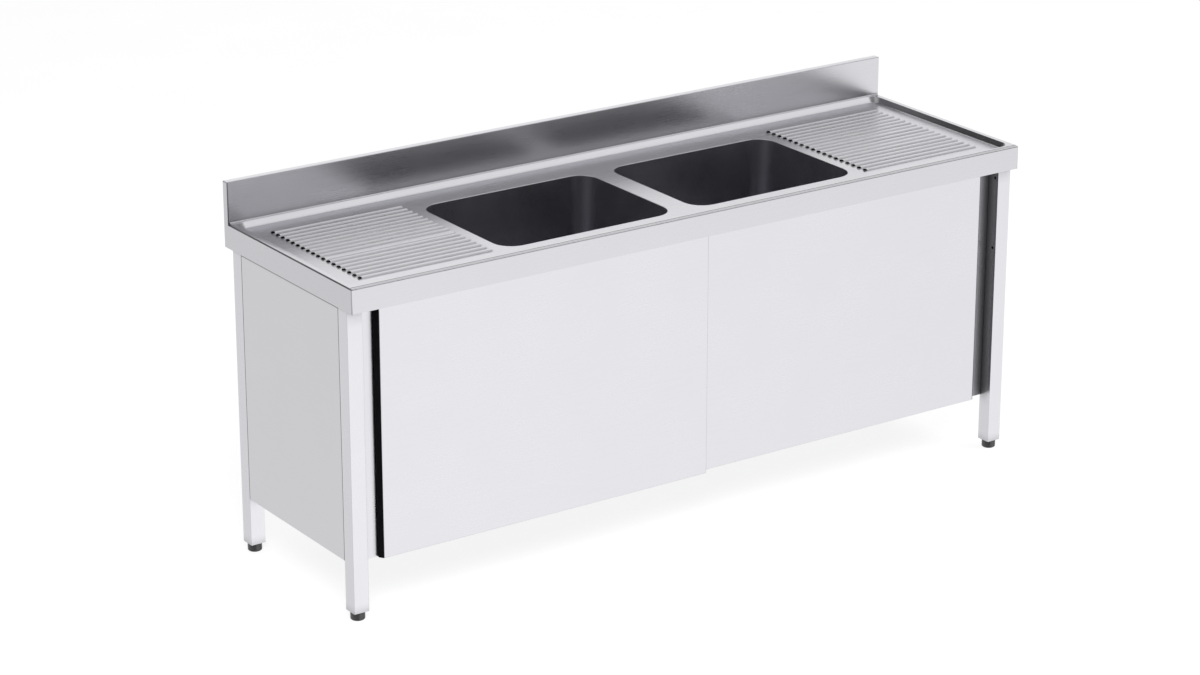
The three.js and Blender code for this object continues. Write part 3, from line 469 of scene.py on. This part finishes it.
def is_pan_edge(edge, angle):
    inside = abs(middle(edge).x) < END_X - RIM_MARGIN and middle(edge).y > FRONT_Y + RIM_MARGIN
    return angle > 0 and inside and lies_at(edge, Z_AXIS, RIM_Z) and middle(edge).y < UPSTAND_FRONT_Y


def is_bowl_opening(edge, angle):
    return angle > 0 and not over_drainer(edge) and lies_at(edge, Z_AXIS, PAN_Z)


def is_fascia_fold(edge, angle):
    return angle > 0 and lies_at(edge, Z_AXIS, FASCIA_BOTTOM_Z) and lies_at(edge, Y_AXIS, FRONT_Y)


def is_upstand_edge(edge, angle):
    on_face = lies_at(edge, Y_AXIS, UPSTAND_FRONT_Y, BACK_Y)
    above_rim = middle(edge).z > RIM_Z or lies_at(edge, Y_AXIS, BACK_Y)
    at_end = lies_at(edge, X_AXIS, -END_X, END_X)
    on_top = lies_at(edge, Z_AXIS, UPSTAND_TOP_Z) and (at_end or runs_along(edge, X_AXIS))
    upright = at_end and lies_at(edge, Y_AXIS, BACK_Y) and runs_along(edge, Z_AXIS)
    return angle > 0 and on_face and above_rim and (on_top or upright)


def worktop():
    bm = whole("worktop")
    steepen_rib_ends(bm)
    round_edges(bm, RIB_ROUND, PLAIN_ROUNDING, is_rib_crest)
    round_edges(bm, PAN_FOOT_ROUND, FINE_ROUNDING, is_pan_foot)
    round_edges(bm, PAN_EDGE_ROUND, PLAIN_ROUNDING, is_pan_edge)
    round_edges(bm, OPENING_ROUND, PLAIN_ROUNDING, is_bowl_opening)
    round_edges(bm, FOLD_ROUND, PLAIN_ROUNDING, is_fascia_fold)
    round_edges(bm, UPSTAND_ROUND, PLAIN_ROUNDING, is_upstand_edge)
    piece("worktop_sheet", bm, TOP_STEEL, "worktop")


# ---------------------------------------------------------------- bowls
BOWL_CORNER_STEPS = 14
BOWL_FLOOR_STEPS = 10


def rounded_ring(half_x, half_y, radius, z):
    """Points of a level rectangle with round corners about the origin, anticlockwise."""
    corners = [(1, 1), (-1, 1), (-1, -1), (1, -1)]
    points = []
    for quarter, (sx, sy) in enumerate(corners):
        for i in range(BOWL_CORNER_STEPS + 1):
            angle = (quarter + i / BOWL_CORNER_STEPS) * math.pi / 2
            x = sx * (half_x - radius) + radius * math.cos(angle)
            y = sy * (half_y - radius) + radius * math.sin(angle)
            points.append(Vector((x, y, z)))
    return points


def circle_ring(radius, z):
    points = []
    for quarter in range(4):
        for i in range(BOWL_CORNER_STEPS + 1):
            share = (i + 0.5) / (BOWL_CORNER_STEPS + 1)
            angle = (quarter + share) * math.pi / 2
            points.append(Vector((radius * math.cos(angle), radius * math.sin(angle), z)))
    return points


def loft_round(bm, rings):
    """Joins equal rings one after the other, and the last back to the first."""
    rows = [[bm.verts.new(point) for point in ring] for ring in rings]
    for lower, upper in zip(rows, rows[1:] + rows[:1]):
        for i in range(len(lower)):
            j = (i + 1) % len(lower)
            bm.faces.new((lower[i], lower[j], upper[j], upper[i]))


def bowl_ring(inset, radius, z):
    return rounded_ring(BOWL_LENGTH / 2 - inset, BOWL_WIDTH / 2 - inset, radius, z)


def bowl_rings(grow):
    """Rings of the bowl's surface from the floor's flat to the straight wall's foot."""
    rings = []
    for i in range(BOWL_FLOOR_STEPS + 1):
        angle = i / BOWL_FLOOR_STEPS * math.pi / 2
        lean = BOWL_FLOOR_RADIUS * (1 - math.sin(angle))
        rise = BOWL_FLOOR_RADIUS * (1 - math.cos(angle))
        corner = max(BOWL_CORNER_RADIUS - BOWL_DRAFT / 2 - lean, BOWL_FLOOR_CORNER_RADIUS) + grow
        z = BOWL_FLOOR_Z + rise - grow * math.cos(angle)
        rings.append(bowl_ring(BOWL_DRAFT + lean - grow, corner, z))
    return rings


def bowl(word, side):
    inner = bowl_rings(0.0)
    outer = bowl_rings(BOWL_SHEET)
    under_flange = BOWL_TOP_Z - BOWL_SHEET
    rings = [circle_ring(DRAIN_HOLE_RADIUS, BOWL_FLOOR_Z), *inner]
    rings += [
        bowl_ring(0.0, BOWL_CORNER_RADIUS, BOWL_TOP_Z),
        bowl_ring(-BOWL_FLANGE, BOWL_CORNER_RADIUS + BOWL_FLANGE, BOWL_TOP_Z),
        bowl_ring(-BOWL_FLANGE, BOWL_CORNER_RADIUS + BOWL_FLANGE, under_flange),
        bowl_ring(-BOWL_SHEET, BOWL_CORNER_RADIUS + BOWL_SHEET, under_flange),
    ]
    rings += [*reversed(outer), circle_ring(DRAIN_HOLE_RADIUS, BOWL_FLOOR_Z - BOWL_SHEET)]
    bm = bmesh.new()
    loft_round(bm, rings)
    bmesh.ops.translate(bm, verts=bm.verts, vec=(side * BOWL_CENTRE_X, BOWL_CENTRE_Y, 0))
    piece(f"{word}_bowl_shell", bm, BOWL_STEEL, f"{word}_bowl")


# ---------------------------------------------------------------- turned pieces
TURNED_STEPS = 56
CORNER_SHARE = 0.45  # the most of a profile's side that one rounded corner takes


def soft_profile(profile, radius, steps=3):
    """Rounds the corners of a profile of (radius, z) points that don't lie on the axis."""
    softened = []
    for i, point in enumerate(profile):
        here = Vector(point)
        before = Vector(profile[i - 1])
        after = Vector(profile[(i + 1) % len(profile)])
        if here.x < TOUCH:
            softened.append(here)
            continue
        back = min(radius, (before - here).length * CORNER_SHARE)
        forth = min(radius, (after - here).length * CORNER_SHARE)
        start = here + (before - here).normalized() * back
        end = here + (after - here).normalized() * forth
        for k in range(steps + 1):
            t = k / steps
            softened.append(start * (1 - t) ** 2 + here * (2 * t * (1 - t)) + end * t**2)
    return softened


def turned(profile, place):
    """A solid of revolution about an upright axis through a place."""
    bm = bmesh.new()
    rows = []
    for r, z in profile:
        if r < TOUCH:
            rows.append([bm.verts.new((place[0], place[1], z))])
            continue
        row = []
        for i in range(TURNED_STEPS):
            angle = i / TURNED_STEPS * 2 * math.pi
            row.append(bm.verts.new((place[0] + r * math.cos(angle), place[1] + r * math.sin(angle), z)))
        rows.append(row)
    for low, high in zip(rows, rows[1:] + rows[:1]):
        for i in range(TURNED_STEPS):
            j = (i + 1) % TURNED_STEPS
            corners = [low[i % len(low)], low[j % len(low)], high[j % len(high)], high[i % len(high)]]
            unique = list(dict.fromkeys(corners))
            if len(unique) > 2:
                bm.faces.new(unique)
    return bm


def mm_profile(points):
    return [(r * MM, z * MM) for r, z in points]


# Profiles as (radius, height), with heights from the floor.
DRAIN_TAIL = [(21, 506), (23.9, 506), (23.9, 581.3)]
DRAIN_FLANGE = [(43, 581.3), (43, 582.6), (41.8, 583.8), (23.4, 583.8), (21, 582.6)]
DRAIN_PROFILE = mm_profile(DRAIN_TAIL + DRAIN_FLANGE)
PLUG_BODY = [(0, 562.1), (20.4, 562.1), (20.4, 584.1), (29, 584.1), (29, 585.3), (27, 586.1), (12, 586.1)]
PLUG_KNOB = [(3.5, 587.2), (3.5, 591.6), (6, 591.9), (7, 593.2), (7, 595.4), (5, 596.8), (0, 597.1)]
PLUG_PROFILE = mm_profile(PLUG_BODY + PLUG_KNOB)
FOOT_CAP = [(0, 0), (15.5, 0), (18, 2.5), (18, 20.2), (17, 21.7)]
FOOT_STEM = [(6, 21.7), (6, 71.7), (0, 71.7)]
FOOT_PROFILE = mm_profile(FOOT_CAP + FOOT_STEM)
DRAIN_ROUND = 0.6 * MM
FOOT_ROUND = 0.9 * MM


def drain(word, side):
    place = (side * BOWL_CENTRE_X, BOWL_CENTRE_Y)
    flange = turned(soft_profile(DRAIN_PROFILE, DRAIN_ROUND), place)
    piece(f"{word}_drain_flange", flange, CHROME, f"{word}_drain_body")
    plug = turned(soft_profile(PLUG_PROFILE, DRAIN_ROUND), place)
    piece(f"{word}_plug_turning", plug, CHROME, f"{word}_drain_plug", body=f"{word}_plug")


def foot(name):
    low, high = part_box(f"{name}_foot")
    place = ((low.x + high.x) / 2, (low.y + high.y) / 2)
    cap = turned(soft_profile(FOOT_PROFILE, FOOT_ROUND), place)
    piece(f"{name}_foot_cap", cap, FOOT_BLACK, f"{name}_foot", body=f"foot_{name}")


# ---------------------------------------------------------------- folded sheets and tubes
LEG_ROUND = 0.6 * MM
LEG_INNER_ROUND = 1.2 * MM
PANEL_ROUND = 2.2 * MM
DOOR_ROUND = 1.6 * MM
SHELF_ROUND = 1.8 * MM
PROFILE_ROUND = 0.7 * MM
SKIN_WRAP = 2.6 * MM  # how far the doors' sheet and the black profile's inner edge move out
TRIM_SLIMMER = 3.2 * MM  # how far the profile's outer edge moves in


def leg(name):
    node = f"{name}_leg"
    low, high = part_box(node)
    bm = whole(node)

    def is_outer(edge, angle):
        at_corner = lies_at(edge, X_AXIS, low.x, high.x) and lies_at(edge, Y_AXIS, low.y, high.y)
        return runs_along(edge, Z_AXIS) and at_corner

    def is_inner(edge, angle):
        return runs_along(edge, Z_AXIS) and angle < 0

    round_edges(bm, LEG_ROUND, FINE_ROUNDING, is_outer)
    round_edges(bm, LEG_INNER_ROUND, PLAIN_ROUNDING, is_inner)
    piece(f"{name}_leg_tube", bm, POST_STEEL, node)


def side_panel(word, side):
    node = f"{word}_side_panel"
    low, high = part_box(node)
    outer_x = high.x if side > 0 else low.x
    bm = whole(node)

    def is_fold(edge, angle):
        return runs_along(edge, Z_AXIS) and lies_at(edge, X_AXIS, outer_x)

    round_edges(bm, PANEL_ROUND, FINE_ROUNDING, is_fold)
    piece(f"{word}_side_sheet", bm, SIDE_STEEL, node)


def door_skin(word):
    """A door's face, whose outer edge reaches further out, to the slimmer black profile."""
    node = f"{word}_door_outer_skin"
    low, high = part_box(node)
    inner_x, outer_x = (high.x, low.x) if word == "left" else (low.x, high.x)
    wrap = math.copysign(SKIN_WRAP, outer_x)
    bm = whole(node)
    for vert in bm.verts:
        if abs(vert.co.x - outer_x) < TOUCH:
            vert.co.x += wrap

    def is_fold(edge, angle):
        at_end = lies_at(edge, X_AXIS, inner_x, outer_x + wrap) or lies_at(edge, Z_AXIS, low.z, high.z)
        return lies_at(edge, Y_AXIS, low.y) and at_end

    round_edges(bm, DOOR_ROUND, FINE_ROUNDING, is_fold)
    piece(f"{word}_door_face", bm, DOOR_STEEL, node, body=f"{word}_door")


def edge_profile(word):
    """The black profile, slimmer than its solid, because the photograph shows a narrower strip."""
    node = f"{word}_door_edge_profile"
    low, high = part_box(node)
    inner_x, outer_x = (high.x, low.x) if word == "left" else (low.x, high.x)
    bm = whole(node)
    outward = math.copysign(1, outer_x)
    for vert in bm.verts:
        vert.co.x += outward * (SKIN_WRAP if abs(vert.co.x - inner_x) < TOUCH else -TRIM_SLIMMER)

    def is_upright(edge, angle):
        return runs_along(edge, Z_AXIS)

    round_edges(bm, PROFILE_ROUND, PLAIN_ROUNDING, is_upright)
    piece(f"{word}_door_edge_trim", bm, EDGE_BLACK, node, body=f"{word}_door")


def base_shelf():
    low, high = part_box("base_shelf")
    bm = whole("base_shelf")

    def is_fold(edge, angle):
        return angle > 0 and lies_at(edge, Z_AXIS, high.z)

    round_edges(bm, SHELF_ROUND, FINE_ROUNDING, is_fold)
    piece("base_shelf_tray", bm, DOOR_STEEL, "base_shelf")


# ---------------------------------------------------------------- CAD nodes that stay
SMALL_EDGE = 0.3 * MM


def dress_node(name, material):
    """Joins a carried-over node's corners, breaks its sharp edges a little and gives it its finish."""
    obj = NODES[name]
    mesh = obj.data
    for leftover in ("custom_normal", "sharp_edge", "sharp_face"):
        if leftover in mesh.attributes:
            mesh.attributes.remove(mesh.attributes[leftover])
    mesh.shade_smooth()
    weld = obj.modifiers.new("weld", "WELD")
    weld.merge_threshold = WELD
    flat = obj.modifiers.new("flat", "DECIMATE")
    flat.decimate_type = "DISSOLVE"
    flat.angle_limit = FLAT_ANGLE
    bevel = obj.modifiers.new("edges", "BEVEL")
    bevel.width = SMALL_EDGE
    bevel.segments = 2
    bevel.limit_method = "ANGLE"
    bevel.angle_limit = SHARP_ANGLE
    bevel.harden_normals = True
    mesh.materials.clear()
    mesh.materials.append(material)


SLOT_FINISHES = {
    "galvanised_steel": ZINC,
    "drain_chrome": CHROME,
    "rubber": RUBBER,
    "nylon": NYLON,
    "panel_steel": DOOR_STEEL,
}
NODE_FINISHES = {"right_door_jamb": POST_STEEL}  # its wide crease shade darkens the finger gap


def dress_remaining():
    for row in frame["record"]["subparts"]:
        name = row["node"]
        if not NODES[name].hide_render:
            dress_node(name, NODE_FINISHES.get(name, SLOT_FINISHES[row["material_slot"]]))


# ---------------------------------------------------------------- studio
FLOOR_HALF = 40.0
FLOOR_TONE = 0.8
FLOOR_SEEN_TONE = 0.3  # how strongly the camera sees the floor's shadows
FLOOR_GLOW = 0.8
SOFT_LIGHT = 0.5

# Brightness of the studio that the metal mirrors, by the compass: 0 degrees is +X and 90 is +Y.
# The levels were tuned by grey level until the reflections looked like the photograph's.
SKY_AROUND = [
    (-180, 0.45),
    (-158, 0.45),
    (-140, 0.12),
    (-108, 0.12),
    (-92, 0.22),
    (-35, 0.24),
    (-12, 0.27),
    (22, 0.6),
    (48, 0.87),
    (56, 0.96),
    (75, 0.95),
    (96, 0.6),
    (109, 0.03),
    (142, 0.03),
    (162, 0.4),
    (180, 0.45),
]
GROUND_AROUND = [
    (-180, 0.55),
    (-150, 0.5),
    (-132, 0.4),
    (-112, 0.4),
    (-90, 0.85),
    (-76, 1.0),
    (-58, 1.0),
    (-46, 0.92),
    (-25, 0.7),
    (0, 0.6),
    (45, 0.62),
    (62, 0.72),
    (160, 0.72),
    (180, 0.55),
]
OVERHEAD = 0.4
LAMP_SKY = 0.95
LAMP_AIM = (0.53, -0.44, 0.724)
LAMP_EDGE = (0.91, 0.97)  # cosines of the angles at which the big soft lamp starts and is full
UNDERFOOT = 0.45
HORIZON = (-0.15, 0.0)  # heights of a unit direction between which the ground gives way to the sky
OVERHEAD_STARTS = (0.86, 0.96)
UNDERFOOT_ENDS = (-0.92, -0.62)


def grey(level):
    return (level, level, level, 1)


def grey_between(tree, value, tone, swing):
    return shade_between(tree, value, [tone - swing] * 3, [tone + swing] * 3)


def is_camera_ray(tree):
    return put(tree, "ShaderNodeLightPath").outputs["Is Camera Ray"]


def seen_or_mirrored(tree):
    """1 for what the camera sees directly, mirrored or through glass, and 0 for other light."""
    path = put(tree, "ShaderNodeLightPath")
    seen = added(tree, path.outputs["Is Camera Ray"], path.outputs["Is Glossy Ray"])
    seen = added(tree, seen, path.outputs["Is Transmission Ray"])
    return put(tree, "ShaderNodeMath", {0: seen, 1: 1.0}, operation="MINIMUM").outputs[0]


def floor():
    """A pale floor that is white to the camera and keeps a soft shadow. Metal mirrors the studio instead."""
    bm = bmesh.new()
    corners = [(-1, -1), (1, -1), (1, 1), (-1, 1)]
    bm.faces.new([bm.verts.new((x * FLOOR_HALF, y * FLOOR_HALF, 0)) for x, y in corners])
    mesh = bpy.data.meshes.new("studio_floor")
    bm.to_mesh(mesh)
    bm.free()
    material, tree = new_material("pale_floor")
    place = put(tree, "ShaderNodeTexCoord").outputs["Object"]
    mottle = noise(tree, 2.0, vector=place)
    paint = put(tree, "ShaderNodeBsdfDiffuse", {"Color": grey_between(tree, mottle, FLOOR_TONE, 0.02)})
    seen_tone = grey_between(tree, mottle, FLOOR_SEEN_TONE, 0.01)
    thin_paint = put(tree, "ShaderNodeBsdfDiffuse", {"Color": seen_tone})
    glow = put(tree, "ShaderNodeEmission", {"Color": (1, 1, 1, 1), "Strength": FLOOR_GLOW})
    seen = put(tree, "ShaderNodeAddShader", {0: thin_paint.outputs[0], 1: glow.outputs[0]})
    choice = {0: seen_or_mirrored(tree), 1: paint.outputs[0], 2: seen.outputs[0]}
    finish_with(tree, put(tree, "ShaderNodeMixShader", choice))
    mesh.materials.append(material)
    obj = bpy.data.objects.new("studio_floor", mesh)
    obj.visible_glossy = False
    bpy.context.scene.collection.objects.link(obj)


def level_around(tree, compass, levels):
    """The level at a compass direction from -1 to 1 half turns, read off a list of (degrees, level)."""
    ramp = put(tree, "ShaderNodeValToRGB", {"Fac": spread(tree, compass, 0.0, 1.0, -1.0, 1.0)})
    stops = ramp.color_ramp.elements
    while len(stops) < len(levels):
        stops.new(0.5)
    for stop, (degrees, level) in zip(stops, levels):
        stop.position = (degrees + 180) / 360
        stop.color = grey(level)
    return ramp.outputs["Color"]


def between(tree, factor, off, on):
    """A colour between two others."""
    node = put(tree, "ShaderNodeMix", data_type="RGBA")
    colours = [socket for socket in node.inputs if socket.type == "RGBA"]
    for socket, value in ((node.inputs["Factor"], factor), (colours[0], off), (colours[1], on)):
        if isinstance(value, bpy.types.NodeSocket):
            tree.links.new(value, socket)
        else:
            socket.default_value = value
    return next(output for output in node.outputs if output.type == "RGBA")


def world():
    """White to the camera. Metal mirrors a studio lit unevenly round the compass, with one big soft lamp."""
    studio = bpy.data.worlds.new("studio")
    studio.use_nodes = True
    bpy.context.scene.world = studio
    tree = studio.node_tree
    tree.nodes.clear()
    place = put(tree, "ShaderNodeTexCoord").outputs["Generated"]
    x, y, height = put(tree, "ShaderNodeSeparateXYZ", {0: place}).outputs
    angle = put(tree, "ShaderNodeMath", {0: y, 1: x}, operation="ARCTAN2").outputs[0]
    compass = put(tree, "ShaderNodeMath", {0: angle, 1: math.pi}, operation="DIVIDE").outputs[0]
    ground = level_around(tree, compass, GROUND_AROUND)
    sky = level_around(tree, compass, SKY_AROUND)
    mirrored = between(tree, spread(tree, height, 0.0, 1.0, *HORIZON), ground, sky)
    mirrored = between(tree, spread(tree, height, 0.0, 1.0, *OVERHEAD_STARTS), mirrored, grey(OVERHEAD))
    mirrored = between(tree, spread(tree, height, 1.0, 0.0, *UNDERFOOT_ENDS), mirrored, grey(UNDERFOOT))
    toward_lamp = put(tree, "ShaderNodeVectorMath", {0: place, 1: LAMP_AIM}, operation="DOT_PRODUCT")
    lamp_share = spread(tree, toward_lamp.outputs["Value"], 0.0, 1.0, *LAMP_EDGE)
    mirrored = between(tree, lamp_share, mirrored, grey(LAMP_SKY))
    background = between(tree, is_camera_ray(tree), mirrored, grey(1.0))
    color = between(tree, seen_or_mirrored(tree), grey(SOFT_LIGHT), background)
    shade = put(tree, "ShaderNodeBackground", {"Color": color, "Strength": 1.0})
    put(tree, "ShaderNodeOutputWorld", {"Surface": shade.outputs[0]})


LAMP_TARGET = (0, 0, 0.4)


def lamp(name, place, size, watts):
    light = bpy.data.lights.new(name, "AREA")
    light.shape = "DISK"
    light.size = size
    light.energy = watts
    obj = bpy.data.objects.new(name, light)
    obj.location = place
    obj.rotation_euler = (Vector(LAMP_TARGET) - Vector(place)).to_track_quat("-Z", "Y").to_euler()
    obj.visible_glossy = False
    bpy.context.scene.collection.objects.link(obj)


# The camera's place and aim were solved from the straight edges in the photograph.
CAMERA_PLACE = (-4.79733, -6.83848, 3.46863)
CAMERA_YAW = 0.601318
CAMERA_PITCH = 0.348608
FOCAL_PIXELS = 3502.15
IMAGE_WIDTH = 1200
SENSOR_WIDTH = 36.0
VIEW_REACH = 200


def camera():
    lens = bpy.data.cameras.new("camera")
    lens.sensor_fit = "HORIZONTAL"
    lens.sensor_width = SENSOR_WIDTH
    lens.lens = FOCAL_PIXELS / IMAGE_WIDTH * SENSOR_WIDTH
    lens.clip_end = VIEW_REACH
    obj = bpy.data.objects.new("camera", lens)
    obj.location = CAMERA_PLACE
    obj.rotation_euler = (math.pi / 2 - CAMERA_PITCH, 0, -CAMERA_YAW)
    bpy.context.scene.collection.objects.link(obj)
    bpy.context.scene.camera = obj


# ---------------------------------------------------------------- scene
worktop()
for word, side in (("left", -1), ("right", 1)):
    bowl(word, side)
    drain(word, side)
    side_panel(word, side)
    door_skin(word)
    edge_profile(word)
for name in ("front_left", "front_right", "back_left", "back_right"):
    leg(name)
    foot(name)
base_shelf()
dress_remaining()

floor()
world()
lamp("key_lamp", place=(-3.5, -4.5, 5.0), size=3.0, watts=250)
lamp("fill_lamp", place=(4.0, -2.5, 4.5), size=3.5, watts=120)
camera()
bpy.context.scene.view_settings.view_transform = "Standard"
